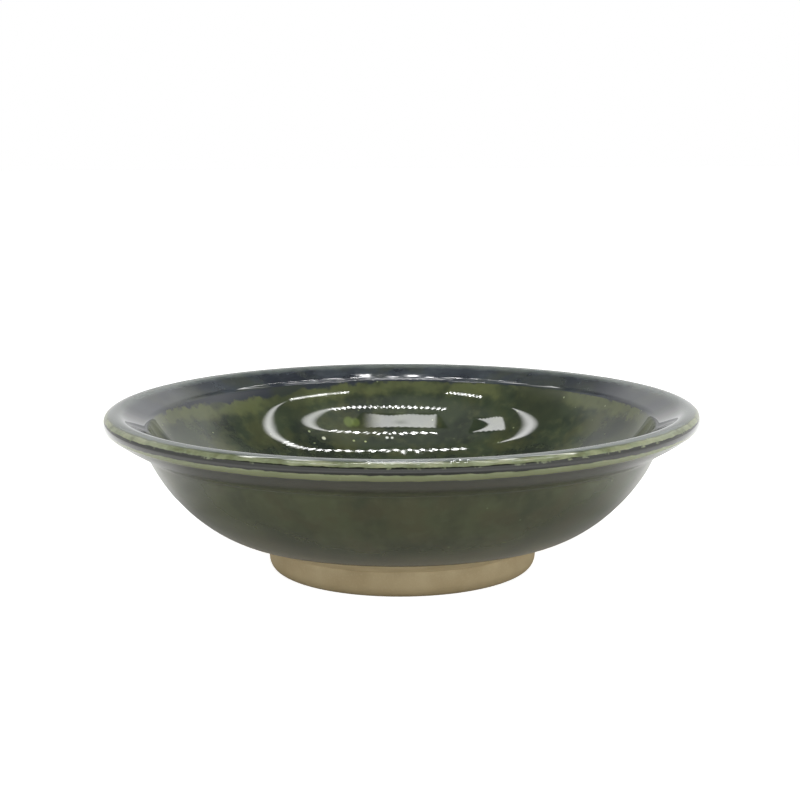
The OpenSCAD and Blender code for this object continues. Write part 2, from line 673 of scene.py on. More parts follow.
@dataclass(frozen=True)
class Stripe:
    """A stripe of another tint along the section, with a ragged edge.

    The stripe is full between its start and end, measured in millimetres along the section
    from the foot, and fades over its soft width on both sides. Where broken is over zero,
    the stripe is missing wherever a cloud noise lies below that value.
    """

    start: float
    end: float
    soft: float
    tint: str
    share: float = 1.0
    broken: float = 0.0


@dataclass(frozen=True)
class Spot:
    """A small round mark in a glaze: a pale patch, a dark patch, and also a painted highlight on a bubble.

    Its place is its distance to the right and to the back of the dish's middle, in
    millimetres, and it fades out over the outer half of its radius.
    """

    right: float
    back: float
    radius: float
    tint: str
    share: float = 0.9


@dataclass(frozen=True)
class GlazeFinish:
    """A glossy high-fired glaze over stoneware.

    It is glass on clay: a dielectric with an IOR near 1.5 and hardly any roughness. It was
    dipped and fired, which leaves clouds of colour where it lay thick or thin, fine specks
    of iron, pale pinprick bubbles, and a skin that ripples very slightly.

    Fields that end in mm are the width of a pattern's clouds or cells. The warm clouds are
    smaller than the others by the drift share, and lie aside by a step in metres. A stripe's
    edge wavers by rag_w to both sides as a noise goes through its span, and its gaps open
    from a little under to a little over the value that it is broken by.
    """

    name: str
    deep: str
    mid: str
    warm: str
    pale: str
    cloud_mm: float = 9.0
    warm_share: float = 0.8
    fleck_mm: float = 2.4
    fleck_share: float = 0.3
    roughness: float = 0.03
    ior: float = 1.5
    noise_roughness: float = 0.55
    drift_share: float = 0.8
    aside_by: tuple[float, float, float] = (0.31, 0.17, 0.23)
    ripple_mm: float = 2.2
    ripple_h: float = 0.0028
    speck_tint: str = "#8f9a72"
    speck_share: float = 0.4
    speck_mm: float = 3.4
    speck_core: float = 0.03
    speck_edge: float = 0.075
    rag_mm: float = 3.0
    rag_w: float = 0.3
    rag_span: tuple[float, float] = (0.3, 0.7)
    patch_mm: float = 2.5
    gap_low: float = 0.12
    gap_high: float = 0.06
    stripes: tuple[Stripe, ...] = ()
    spots: tuple[Spot, ...] = ()

    @property
    def clouds(self) -> tuple[Cloud, ...]:
        """The layers of colour over the deep one, from the lowest up."""
        return (
            Cloud(self.mid, self.cloud_mm, 0.36, 0.64),
            Cloud(self.warm, self.cloud_mm * self.drift_share, 0.46, 0.66, self.warm_share, 4.0, aside=True),
            Cloud(self.pale, self.fleck_mm, 0.45, 0.75, self.fleck_share, 4.0),
        )

    def cloud_noise(self, size: float, detail: float) -> dict[str, float]:
        """Gives the settings of a noise whose clouds are about this many millimetres wide."""
        return {"Scale": 1 / (size * MM), "Detail": detail, "Roughness": self.noise_roughness}

    def clouded(self, tree: Tree, place: Socket, aside: bpy.types.Node) -> Paint:
        """Lays the clouds of colour over the deep one.

        Args:
            tree: the material's node tree.
            place: the point of the dish.
            aside: the same point, moved aside.

        Returns:
            The colour so far.
        """
        colour = srgb(self.deep)
        for cloud in self.clouds:
            where = {"Vector": aside if cloud.aside else place}
            noise = add_node(tree, "TexNoise", self.cloud_noise(cloud.size, cloud.detail) | where)
            edges = {"From Min": cloud.thin, "From Max": cloud.full, "To Max": cloud.share}
            colour = tinted(tree, colour, cloud.tint, SMOOTH | edges, noise)
        return colour

    def striped(self, tree: Tree, place: Socket, aside: bpy.types.Node, colour: Paint) -> Paint:
        """Lays the stripes over a colour.

        A stripe's share is the product of its rise and its fall along the section, where
        that distance wavers with a noise, and of the patches that it is broken by.

        Args:
            tree: the material's node tree.
            place: the point of the dish.
            aside: the same point, moved aside.
            colour: the colour so far.

        Returns:
            The colour with its stripes.
        """
        along = add_node(tree, "Attribute", {"attribute_name": "along"}).outputs["Fac"]
        waver = add_node(tree, "TexNoise", self.cloud_noise(self.rag_mm, 3.0) | {"Vector": place})
        low, high = self.rag_span
        reach = {"From Min": low, "From Max": high, "To Min": -self.rag_w, "To Max": self.rag_w}
        rag = add_node(tree, "MapRange", reach | {"Value": waver})
        where = add_node(tree, "Math", {"operation": "ADD", 0: along, 1: rag})
        patches = add_node(tree, "TexNoise", self.cloud_noise(self.patch_mm, 3.0) | {"Vector": aside})
        for stripe in self.stripes:
            rise = {"From Min": stripe.start - stripe.soft, "From Max": stripe.start}
            risen = add_node(tree, "MapRange", SMOOTH | rise | {"Value": where})
            fall = {"From Min": stripe.end + stripe.soft, "From Max": stripe.end, "To Max": stripe.share}
            fallen = add_node(tree, "MapRange", SMOOTH | fall | {"Value": where})
            share = add_node(tree, "Math", {"operation": "MULTIPLY", 0: risen, 1: fallen})
            if stripe.broken:
                gap = {"From Min": stripe.broken - self.gap_low, "From Max": stripe.broken + self.gap_high}
                whole = add_node(tree, "MapRange", SMOOTH | gap | {"Value": patches})
                share = add_node(tree, "Math", {"operation": "MULTIPLY", 0: share, 1: whole})
            layers = {"data_type": "RGBA", 0: share, 6: colour, 7: srgb(stripe.tint)}
            colour = add_node(tree, "Mix", layers).outputs[2]
        return colour

    def marked(self, tree: Tree, place: Socket, colour: Paint) -> Paint:
        """Lays the spots and then the scattered specks over a colour.

        A spot's share depends on the level distance from its middle, and a speck's on the
        distance from the middle of its cell, as a share of the cells' spacing.

        Args:
            tree: the material's node tree.
            place: the point of the dish.
            colour: the colour so far.

        Returns:
            The finished colour.
        """
        level = add_node(tree, "VectorMath", {"operation": "MULTIPLY", 0: place, 1: (1.0, 1.0, 0.0)})
        for spot in self.spots:
            middle = (spot.right * MM, spot.back * MM, 0.0)
            reach = add_node(tree, "VectorMath", {"operation": "DISTANCE", 0: level, 1: middle})
            radius = spot.radius * MM
            edges = {"From Min": radius, "From Max": radius / 2, "To Max": spot.share}
            colour = tinted(tree, colour, spot.tint, SMOOTH | edges, reach.outputs["Value"])
        cells = {"Scale": 1 / (self.speck_mm * MM), "Randomness": 1.0, "Vector": place}
        specks = add_node(tree, "TexVoronoi", cells).outputs["Distance"]
        edges = {"From Min": self.speck_core, "From Max": self.speck_edge}
        shares = {"To Min": self.speck_share, "To Max": 0.0}
        return tinted(tree, colour, self.speck_tint, edges | shares, specks)

    def material(self) -> bpy.types.Material:
        """Builds the material as a node tree.

        Returns:
            The finished material.
        """
        made, tree = empty_material(self.name)
        place = add_node(tree, "TexCoord").outputs["Object"]
        aside = add_node(tree, "Mapping", {"Location": self.aside_by, "Vector": place})
        colour = self.clouded(tree, place, aside)
        colour = self.striped(tree, place, aside, colour)
        colour = self.marked(tree, place, colour)
        waves = {"Scale": 1 / (self.ripple_mm * MM), "Detail": 1.0}
        ripple = add_node(tree, "TexNoise", waves | {"Vector": place})
        bump = add_node(tree, "Bump", {"Strength": 1.0, "Distance": self.ripple_h * MM, "Height": ripple})
        glass = {"Roughness": self.roughness, "IOR": self.ior, "Base Color": colour, "Normal": bump}
        add_node(tree, "OutputMaterial", {"Surface": add_node(tree, "BsdfPrincipled", glass)})
        return made


@dataclass(frozen=True)
class BareClayFinish:
    """Bare buff stoneware, turned on the wheel and fired without glaze.

    It is a dull, slightly gritty clay with fine dark and pale grog, painted a little darker
    toward the table as shade where the foot curves under.
    """

    name: str = "bare_stoneware"
    body: str = "#a89a7a"
    shade: str = "#978867"
    wiped: str = "#b8ab8e"
    # painted shade: a darker tint toward the table, where the foot curves under
    painted_low_shade: str = "#7f7254"
    painted_low_shade_share: float = 0.9
    painted_low_shade_h: float = 4.5
    cloud_mm: float = 6.0
    grain_mm: float = 0.35
    grain_h: float = 0.012
    roughness: float = 0.85

    def material(self) -> bpy.types.Material:
        """Builds the material as a node tree.

        The body's own tint lies over the shade in soft clouds, the wiped one on the pale
        grains, and a darker tint of painted shade grows toward the table.

        Returns:
            The finished material.
        """
        made, tree = empty_material(self.name)
        place = add_node(tree, "TexCoord").outputs["Object"]
        fine = {"Scale": 1 / (self.grain_mm * MM), "Detail": 4.0, "Roughness": 0.7}
        grain = add_node(tree, "TexNoise", fine | {"Vector": place})
        soft = add_node(tree, "TexNoise", {"Scale": 1 / (self.cloud_mm * MM), "Detail": 2.0, "Vector": place})
        height = add_node(tree, "SeparateXYZ", {0: place}).outputs[2]
        low_edges = {"From Max": self.painted_low_shade_h * MM, "To Min": self.painted_low_shade_share, "To Max": 0.0}
        colour = srgb(self.shade)
        for tint, edges, value in (
            (self.body, {"From Min": 0.35, "From Max": 0.7}, soft),
            (self.wiped, {"From Min": 0.5, "From Max": 0.8, "To Max": 0.5}, grain),
            # painted shade, growing toward the table
            (self.painted_low_shade, low_edges, height),
        ):
            colour = tinted(tree, colour, tint, edges, value)
        bump = add_node(tree, "Bump", {"Strength": 1.0, "Distance": self.grain_h * MM, "Height": grain})
        clay = {"Roughness": self.roughness, "Base Color": colour, "Normal": bump}
        add_node(tree, "OutputMaterial", {"Surface": add_node(tree, "BsdfPrincipled", clay)})
        return made


def dressed(piece: bpy.types.Object, material: bpy.types.Material, node: str) -> bpy.types.Object:
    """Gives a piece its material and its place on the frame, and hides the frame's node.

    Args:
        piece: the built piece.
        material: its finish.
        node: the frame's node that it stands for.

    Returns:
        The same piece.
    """
    piece.data.materials.append(material)
    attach(piece, "root")
    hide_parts(node)
    return piece


@dataclass
class Coat:
    """One coat of glaze: the finished surface of its zone over the clay under it."""

    skin: Skin
    zone: Zone
    finish: GlazeFinish
    slot: str
    clay_step: int = 8

    def build(self) -> bpy.types.Object:
        """Builds the coat as a closed solid.

        The rings run up the finished face and come back down the clay side. A coat that
        reaches the middle of the dish closes there in a point on both sides.

        Returns:
            The object, not yet dressed.
        """
        first, last = self.skin.span[self.zone]
        face = self.skin.points[first:last + 1]
        face_n = self.skin.normals[first:last + 1]
        picks = np.unique(np.append(np.arange(first, last, self.clay_step), last))[::-1]
        clay = self.skin.clay[picks]
        clay_n = -self.skin.normals[picks]
        along = self.skin.along[:, None] - self.skin.marks.run(self.skin.theta) * (self.zone is Zone.INNER)
        face_along = along[first:last + 1]
        clay_along = along[picks]
        start_n = self.edge_normals(first, -1)
        if self.zone is Zone.INNER:
            shell = Shell(
                rings=np.concatenate([clay[1:], face[:-1]]),
                lower=np.concatenate([clay_n[1:-1], start_n, face_n[:-2]]),
                upper=np.concatenate([clay_n[2:], start_n, face_n[1:-1]]),
                poles=(clay[0, 0], face[-1, 0]),
            )
            values = {"along": np.concatenate([clay_along[1:], face_along[:-1]])}
        else:
            end_n = self.edge_normals(last, 1)
            shell = Shell(
                rings=np.concatenate([face, clay]),
                lower=np.concatenate([face_n[:-1], end_n, clay_n[:-1], start_n]),
                upper=np.concatenate([face_n[1:], end_n, clay_n[1:], start_n]),
            )
            values = {"along": np.concatenate([face_along, clay_along])}
        return shell.mesh_object(self.zone.value + "_coat", values)

    def edge_normals(self, row: int, side: int) -> np.ndarray:
        """Gives the normals of the coat's cut edge at a row, as one joint of the shell.

        Each is the cross product of the surface's normal and the step round the axis.

        Args:
            row: number of the row.
            side: 1 where the edge looks on along the section, and -1 where it looks back.

        Returns:
            One row of normals, by column.
        """
        theta = self.skin.theta
        around = np.stack([-np.sin(theta), np.cos(theta), np.zeros_like(theta)], axis=1)
        return side * np.cross(self.skin.normals[row], around)[None]

    def dress(self) -> bpy.types.Object:
        """Builds the coat and puts its glaze on it."""
        return dressed(self.build(), self.finish.material(), self.zone.value)


@dataclass
class ClayBowl:
    """The thrown clay under the glaze. Its underside and a strip round the foot are bare."""

    skin: Skin
    finish: BareClayFinish
    hollow_r: float
    belly_h: float = 0.5
    belly_stations: int = 24
    cone_stations: int = 12
    row_step: int = 4

    def build(self) -> bpy.types.Object:
        """Builds the clay body as a closed solid, from the belly's middle to the floor's.

        The underside rises from the belly's middle to the hollow's edge as a quarter of an
        ellipse. A flat seat on the foot and a plain cone up to the glaze's edge follow, and
        the rest is the clay side of every coat.

        Returns:
            The object, not yet dressed.
        """
        section = self.skin.section
        theta = self.skin.theta
        turn = np.linspace(0, math.pi / 2, self.belly_stations)[1:]
        radius = self.hollow_r * np.sin(turn)
        height = section.foot_h - self.belly_h * np.cos(turn)
        rise = np.arctan2(np.diff(height, append=height[-1]), np.diff(radius, append=radius[-1] + 1))
        under = turned(np.stack([radius, height], axis=1), theta)
        under_n = turned(facing(rise), theta)
        seat_n = turned(facing(np.zeros(1)), theta)
        share = np.linspace(0, 1, self.cone_stations)[:, None]
        cone_line = (1 - share) * [section.foot_r, section.foot_h] + share * section.glaze_edge
        cone = turned(cone_line, theta)[:-1]
        cone_n = turned(facing(np.full(len(cone), math.radians(section.wall_foot_a))), theta)
        borders = [self.skin.span[zone][0] for zone in Zone]
        picks = np.unique(np.concatenate([np.arange(0, len(self.skin.clay) - 1, self.row_step), borders]))
        wall_n = self.skin.normals[picks]
        shell = Shell(
            rings=np.concatenate([under, cone, self.skin.clay[picks]]),
            lower=np.concatenate([under_n[:-1], seat_n, cone_n, wall_n[:-1]]),
            upper=np.concatenate([under_n[1:], seat_n, cone_n, wall_n[1:]]),
            poles=(np.array([0, 0, section.foot_h - self.belly_h]), self.skin.clay[-1, 0]),
        )
        return shell.mesh_object("clay_bowl")

    def dress(self) -> bpy.types.Object:
        """Builds the bowl and gives it bare clay."""
        return dressed(self.build(), self.finish.material(), "bowl")


@dataclass
class FootRing:
    """The bare turned foot, worn round below and leaning back round its hollow."""

    section: Section
    finish: BareClayFinish
    columns: int = 512
    inset: float = 1.5
    worn_h: float = 2.0
    tread_w: float = 3.4
    lean_w: float = 1.1
    worn_stations: int = 16
    tread_stations: int = 8
    side_stations: int = 14
    top_stations: int = 4

    @property
    def tread_r(self) -> float:
        """Outer radius of the flat face that the foot stands on."""
        return self.section.foot_r - self.inset

    @property
    def hollow_r(self) -> float:
        """Radius of the hollow under the bowl."""
        return self.tread_r - self.tread_w - self.lean_w

    def build(self) -> bpy.types.Object:
        """Builds the ring: tread, worn edge, outer side, top, and the side of the hollow.

        The worn edge is a quarter of an ellipse from the tread to the full radius. The other
        stretches are straight.

        Returns:
            The object, not yet dressed.
        """
        turn = np.linspace(0, math.pi / 2, self.worn_stations)
        worn = np.stack([self.tread_r + self.inset * np.sin(turn), self.worn_h * (1 - np.cos(turn))], axis=1)
        top = self.section.foot_h
        rim = self.section.foot_r
        inner_edge = [self.tread_r - self.tread_w, 0]
        tread = np.linspace(inner_edge, [self.tread_r, 0], self.tread_stations)[:-1]
        line = np.concatenate([
            tread,
            worn,
            np.linspace([rim, self.worn_h], [rim, top], self.side_stations)[1:],
            np.linspace([rim, top], [self.hollow_r, top], self.top_stations)[1:],
            np.linspace([self.hollow_r, top], inner_edge, self.tread_stations)[1:-1],
        ])
        theta = np.linspace(0, 2 * math.pi, self.columns, endpoint=False)
        step = np.roll(line, -1, axis=0) - line
        lower = turned(facing(np.arctan2(step[:, 1], step[:, 0])), theta)
        upper = lower.copy()
        round_n = turned(facing(turn) / [self.inset, self.worn_h], theta)
        round_n /= np.linalg.norm(round_n, axis=2, keepdims=True)
        curved = slice(len(tread), len(tread) + len(worn) - 1)
        lower[curved] = round_n[:-1]
        upper[curved] = round_n[1:]
        return Shell(turned(line, theta), lower, upper).mesh_object("turned_foot_ring")

    def dress(self) -> bpy.types.Object:
        """Builds the foot and gives it bare clay."""
        return dressed(self.build(), self.finish.material(), "foot_ring")


@dataclass(frozen=True)
class Panel:
    """A stretch of a lamp ring where the glow is broad, widest in its middle.

    The turns are in degrees, and the offset moves the panel out across the ring. A higher
    softness draws the glow in to the panel's middle line.
    """

    middle: float
    half: float
    width: float
    offset: float = 0.0
    softness: float = 0.6


@dataclass(frozen=True)
class LampRing:
    """A flat ring of small bulbs over the dish, with broad glowing panels at its sides.

    The ring is an ellipse with squared shoulders, turned by its twist. A point of it lies at
    the centre plus its distance from there times the cosine and sine of its turn. Bulbs are
    lit only within the ranges of turns given.
    """

    centre: tuple[float, float]
    reach: tuple[float, float]
    pitch: float = 2.0
    bulb_w: float = 0.9
    lit: tuple[tuple[float, float], ...] = ()
    panels: tuple[Panel, ...] = ()
    square: float = 2.0
    twist: float = 0.0
    glow: float = 60.0
    bulb_l: float = 5.0
    stagger: float = 3.6
    least_share: float = 0.3
    most_share: float = 1.7

    def path(self, turn: np.ndarray, offset: np.ndarray | float = 0.0) -> np.ndarray:
        """Gives the ring's points at these turns.

        The distance from the centre is one over the sum of the cosine's and the sine's
        shares of the reaches, each to the power of the squareness, to that power's root.

        Args:
            turn: turns in radians.
            offset: how far out of the ring each point lies.

        Returns:
            Rows of points in the lamp's plane.
        """
        own = turn - math.radians(self.twist)
        total = np.abs(np.cos(own) / self.reach[0]) ** self.square
        total = total + np.abs(np.sin(own) / self.reach[1]) ** self.square
        way = np.stack([np.cos(turn), np.sin(turn)], axis=-1)
        return np.array(self.centre) + (total ** (-1 / self.square) + offset)[..., None] * way

    def bulb_faces(self) -> Faces:
        """Lays a short bar across the ring at each lit bulb, in two rows by turns.

        Returns:
            Points in the lamp's plane, the corner numbers of the bars' quads, and the share of
            the glow at every point, which differs from bulb to bulb.
        """
        fine = np.radians(np.linspace(0, 360, RING_STATIONS))
        steps = np.linalg.norm(np.diff(self.path(fine), axis=0), axis=1)
        length = np.concatenate([[0.0], np.cumsum(steps)])
        turn = np.interp(np.arange(0, length[-1], self.pitch), length, fine)
        turn = turn[np.any([(np.degrees(turn) >= a) & (np.degrees(turn) <= b) for a, b in self.lit], axis=0)]
        row = np.where(np.arange(len(turn)) % 2, 0.5, -0.5)
        middle = self.path(turn, self.stagger * row)[:, None]
        out = self.bulb_l / 2 * np.stack([np.cos(turn), np.sin(turn)], axis=1)[:, None]
        side = self.bulb_w / 2 * np.stack([-np.sin(turn), np.cos(turn)], axis=1)[:, None]
        ends = [middle - out - side, middle + out - side, middle + out + side, middle - out + side]
        quads = np.arange(4 * len(turn)).reshape(-1, 4)
        dice = np.random.default_rng(len(turn))
        shares = np.repeat(dice.uniform(self.least_share, self.most_share, len(turn)), 4)
        return np.concatenate(ends, axis=1).reshape(-1, 2), quads, shares

    def panel_faces(self) -> Faces:
        """Lays every panel as a grid of points along and across the ring.

        The half width is half the panel's own, times the cosine of the share of the way
        from its middle to its end. The glow falls from the middle line to both edges as a
        cosine to the power of the panel's softness.

        Returns:
            Points in the lamp's plane, corner numbers of the panels' quads, and the share of
            the glow at every point.
        """
        count, rows = 48, 13
        along = np.linspace(-1, 1, count)
        across = np.linspace(-1, 1, rows)
        points = []
        quads = []
        shares = []
        for number, panel in enumerate(self.panels):
            turn = np.radians(panel.middle + panel.half * along)
            half = panel.width / 2 * np.cos(math.pi / 2 * along)
            offset = panel.offset + across[:, None] * half[None, :]
            points.append(self.path(turn[None, :], offset).reshape(-1, 2))
            quads.append(grid_quads(rows, count) + number * rows * count)
            shares.append(np.repeat(np.cos(math.pi / 2 * across) ** panel.softness, count))
        return np.concatenate(points), np.concatenate(quads), np.concatenate(shares)


@dataclass(frozen=True)
class Patch:
    """A broad soft glow over the dish, which is a slightly crooked rectangle.

    It lies about its middle, turned in degrees. The slant draws both ends in toward the far
    side, each end fades over its own width, the bite hollows the high end, and the smudge
    dulls a small place near the middle. The near and the far edge lie a margin inside the
    rectangle, on average, and fade over their own width. They waver in a slow and a fine
    wave, whose rates are in radians to the millimetre.
    """

    middle: tuple[float, float]
    half: tuple[float, float]
    turn: float = 0.0
    slant: float = 0.0
    fade: tuple[float, float] = (2.0, 2.0)
    bite: float = 0.0
    smudge: float = 0.0
    margin: float = 3.0
    edge_fade: float = 3.0
    slow_wave: float = 2.0
    fine_wave: float = 1.2
    near_rates: tuple[float, float] = (1 / 4, 2.3)
    far_rates: tuple[float, float] = (1 / 7, 1.9)
    smudge_at: tuple[float, float] = (-1.0, 2.0)
    smudge_spread: tuple[float, float] = (12.0, 30.0)

    def faces(self) -> Faces:
        """Lays the patch as a grid of points.

        The glow's share is the product of four smooth edges, of which the near and the far
        one waver with the distance across, each as a slow and a fine wave.

        Returns:
            Points in the lamp's plane, corner numbers of the quads, and the share of the glow
            at every point.
        """
        count, rows = 90, 50
        wide, deep = self.half
        across, ahead = np.meshgrid(np.linspace(-wide, wide, count), np.linspace(-deep, deep, rows))
        lean = self.slant * (ahead + deep)
        hollow = self.bite * np.cos(math.pi / 2 * ahead / deep) ** 2
        slow, fine = self.near_rates
        near_wave = self.slow_wave * np.sin(slow * across) + self.fine_wave * np.sin(fine * across)
        slow, fine = self.far_rates
        far_wave = self.slow_wave * np.cos(slow * across) + self.fine_wave * np.cos(fine * across)
        share = smooth((across + wide - lean) / self.fade[0])
        share *= smooth((wide - across - lean - hollow) / self.fade[1])
        share *= smooth((ahead + deep - self.margin - near_wave) / self.edge_fade)
        share *= smooth((deep - ahead - self.margin - far_wave) / self.edge_fade)
        from_side = (across - self.smudge_at[0]) ** 2 / self.smudge_spread[0]
        from_near = (ahead - self.smudge_at[1]) ** 2 / self.smudge_spread[1]
        share *= 1 - self.smudge * np.exp(-(from_side + from_near))
        turn = math.radians(self.turn)
        points = np.column_stack([
            self.middle[0] + (across * math.cos(turn) - ahead * math.sin(turn)).ravel(),
            self.middle[1] + (across * math.sin(turn) + ahead * math.cos(turn)).ravel(),
        ])
        return points, grid_quads(rows, count), share.ravel()


@dataclass
class Studio:
    """The table, the lamps, the room's light and the camera.

    The walls are pairs of a height over the horizon, as the sine of its angle, and a tone.
    The lean changes that tone from left to right and from front to back. Each fill light is
    its place in metres and its power. The camera's focal length and its middle are in pixels
    of the square picture.
    """

    lamp_h: float = 183.75
    panel_glow: float = 9.5
    patch_glow: float = 9.0
    rings: tuple[LampRing, ...] = (
        LampRing(
            (-2.8, 28.7), (104.3, 94.3), 1.85, 0.8, ((62.0, 100.0), (307.0, 350.0)),
            (Panel(36.0, 44.0, 20.0, -1.0, 2.0),), square=2.9, twist=32.7,
        ),
        LampRing(
            (7.4, 37.4), (48.4, 39.8), 2.2, 0.9, ((52.0, 118.0), (216.0, 334.0)),
            (Panel(10.0, 54.0, 15.0, 2.0, 1.2),), square=2.6,
        ),
        LampRing((0.0, 44.0), (95.0, 101.0), 2.2, 1.0, ((219.0, 243.0),)),
        LampRing((0.0, 44.0), (86.0, 86.0), panels=(Panel(151.0, 38.0, 22.0, 2.0, 1.5),)),
    )
    patches: tuple[Patch, ...] = (
        Patch((2.0, 39.0), (25.0, 22.0), slant=0.14, fade=(2.0, 13.0), smudge=0.35),
        Patch((-47.5, 65.0), (12.0, 23.0), turn=-19.4, bite=10.0),
    )
    room_glow: float = 2.0
    walls: tuple[tuple[float, float], ...] = (
        (0.0, 0.85), (0.12, 0.72), (0.24, 0.6), (0.41, 0.7), (0.5, 0.76), (0.56, 0.55),
        (0.63, 0.22), (0.7, 0.08), (0.87, 0.05), (0.92, 0.25), (1.0, 0.3),
    )
    lean: tuple[float, float] = (0.12, -0.4)
    fills: tuple[tuple[float, float, float, float], ...] = (
        (-0.75, -0.35, 0.2, 1.2), (0.75, -0.35, 0.2, 1.5), (0.0, -0.9, 0.3, 0.4), (0.0, 0.9, 0.4, 0.9),
    )
    fill_size: float = 0.5
    fill_aim_h: float = 0.01
    table_reach: float = 3000.0
    table_tint: str = "#d8d8d6"
    table_glow: float = 0.8
    far_table_glow: float = 1.5
    far_from: float = 45.0
    far_to: float = 120.0
    far_depth_share: float = 0.35
    focal: float = 1624.5
    middle: tuple[float, float] = (401.465, 409.63)
    tilt: float = 9.74
    roll: float = -0.34
    distance: float = 288.4
    aim_h: float = 27.8

    def emitter(self, name: str, faces: Faces, glow: float) -> None:
        """Hangs a glowing flat piece over the dish, unseen by the camera.

        Args:
            name: name of the lamp.
            faces: its points in the lamp's plane, its quads, and the glow's share by point.
            glow: strength of the light where the share is one.
        """
        points, quads, shares = faces
        flat = np.column_stack([points, np.full(len(points), self.lamp_h)])
        lamp = mesh_object(name, flat, quads, values={"share": shares})
        made, tree = empty_material(name)
        share = add_node(tree, "Attribute", {"attribute_name": "share"}).outputs["Fac"]
        strength = add_node(tree, "Math", {"operation": "MULTIPLY", 0: share, 1: glow})
        light = add_node(tree, "Emission", {"Strength": strength})
        add_node(tree, "OutputMaterial", {"Surface": light})
        lamp.data.materials.append(made)
        lamp.visible_camera = False
        lamp.visible_shadow = False

    def hang_lamps(self) -> None:
        """Hangs every ring's bulbs and panels, and the soft patches."""
        for number, ring in enumerate(self.rings, 1):
            if ring.lit:
                self.emitter(f"bulbs_{number}", ring.bulb_faces(), ring.glow)
            if ring.panels:
                self.emitter(f"panels_{number}", ring.panel_faces(), self.panel_glow)
        for number, patch in enumerate(self.patches, 1):
            self.emitter(f"patch_{number}", patch.faces(), self.patch_glow)

    def place_fills(self) -> None:
        """Places broad soft lights round the dish, each facing its middle and not mirrored."""
        for number, (*place, power) in enumerate(self.fills, 1):
            data = bpy.data.lights.new(f"fill_{number}", "AREA")
            data.shape = "DISK"
            data.size = self.fill_size
            data.energy = power
            lamp = bpy.data.objects.new(f"fill_{number}", data)
            bpy.context.scene.collection.objects.link(lamp)
            facing_dish = (Vector(place) - Vector((0, 0, self.fill_aim_h))).to_track_quat("Z", "Y")
            lamp.matrix_world = Matrix.Translation(place) @ facing_dish.to_matrix().to_4x4()
            lamp.visible_glossy = False
            lamp.visible_camera = False

    def lay_table(self) -> None:
        """Lays a plain pale table, which the camera and reflections see as nearly white.

        The camera sees a steady glow over its paper. A reflection sees one that grows with
        the distance from the dish, of which only a share counts in depth.
        """
        side = self.table_reach
        corners = np.array([(-side, -side, 0), (side, -side, 0), (side, side, 0), (-side, side, 0)])
        table = mesh_object("table", corners, np.array([[0, 1, 2, 3]]))
        made, tree = empty_material("white_paper")
        paper = add_node(tree, "BsdfDiffuse", {"Color": srgb(self.table_tint)})
        path = add_node(tree, "LightPath").outputs
        seen = add_node(tree, "Math", {"operation": "MULTIPLY", 0: path["Is Camera Ray"], 1: self.table_glow})
        place = add_node(tree, "TexCoord").outputs["Object"]
        squeeze = (1.0, self.far_depth_share, 1.0)
        drawn_in = add_node(tree, "VectorMath", {"operation": "MULTIPLY", 0: place, 1: squeeze})
        reach = add_node(tree, "VectorMath", {"operation": "LENGTH", 0: drawn_in}).outputs["Value"]
        edges = {"From Min": self.far_from * MM, "From Max": self.far_to * MM, "To Max": self.far_table_glow}
        distant = add_node(tree, "MapRange", edges | {"Value": reach})
        terms = {0: path["Is Glossy Ray"], 1: distant, 2: seen}
        mirrored = add_node(tree, "Math", {"operation": "MULTIPLY_ADD"} | terms)
        glow = add_node(tree, "Emission", {"Color": srgb("#ffffff"), "Strength": mirrored})
        both = add_node(tree, "AddShader", {0: paper, 1: glow})
        add_node(tree, "OutputMaterial", {"Surface": both})
        table.data.materials.append(made)

    def light_room(self) -> None:
        """Lights the room: pale walls, a dark ceiling with a paler middle, and a white view.

        The tone depends on the height over the horizon, times one plus the lean toward the
        right and toward the back. The camera itself sees plain white.
        """
        world = bpy.data.worlds.new("pale_room")
        bpy.context.scene.world = world
        world.use_nodes = True
        tree = world.node_tree
        tree.nodes.clear()
        way = add_node(tree, "TexCoord").outputs["Generated"]
        right, back, up = add_node(tree, "SeparateXYZ", {0: way}).outputs
        level = add_node(tree, "ValToRGB", {"Fac": up})
        stops = level.color_ramp.elements
        while len(stops) < len(self.walls):
            stops.new(0.5)
        for stop, (height, tone) in zip(stops, self.walls):
            stop.position = height
            stop.color = (tone, tone, tone, 1.0)
        camera = add_node(tree, "LightPath").outputs["Is Camera Ray"]
        sideways = add_node(tree, "Math", {"operation": "MULTIPLY_ADD", 0: right, 1: self.lean[0], 2: 1.0})
        leaning = add_node(tree, "Math", {"operation": "MULTIPLY_ADD", 0: back, 1: self.lean[1], 2: sideways})
        tone = add_node(tree, "Math", {"operation": "MULTIPLY", 0: level, 1: leaning})
        room = add_node(tree, "Math", {"operation": "MULTIPLY", 0: tone, 1: self.room_glow})
        unseen = add_node(tree, "Math", {"operation": "SUBTRACT", 0: 1.0, 1: camera})
        shown = add_node(tree, "Math", {"operation": "MULTIPLY_ADD", 0: room, 1: unseen, 2: camera})
        ground = add_node(tree, "Background", {"Color": srgb("#ffffff"), "Strength": shown})
        add_node(tree, "OutputWorld", {"Surface": ground})

    def place_camera(self) -> None:
        """Places the camera in front of the dish, looking a little down on it."""
        tilt = math.radians(self.tilt)
        data = bpy.data.cameras.new("camera")
        data.sensor_width = SENSOR_MM
        data.lens = SENSOR_MM * self.focal / FRAME_PX
        data.shift_x = (FRAME_PX / 2 - self.middle[0]) / FRAME_PX
        data.shift_y = (self.middle[1] - FRAME_PX / 2) / FRAME_PX
        data.clip_start = 0.01
        data.clip_end = 20.0
        camera = bpy.data.objects.new("camera", data)
        bpy.context.scene.collection.objects.link(camera)
        at = (0.0, -self.distance * math.cos(tilt) * MM, (self.aim_h + self.distance * math.sin(tilt)) * MM)
        camera.matrix_world = (
            Matrix.Translation(at)
            @ Matrix.Rotation(math.pi / 2 - tilt, 4, "X")
            @ Matrix.Rotation(math.radians(self.roll), 4, "Z")
        )
        bpy.context.scene.camera = camera

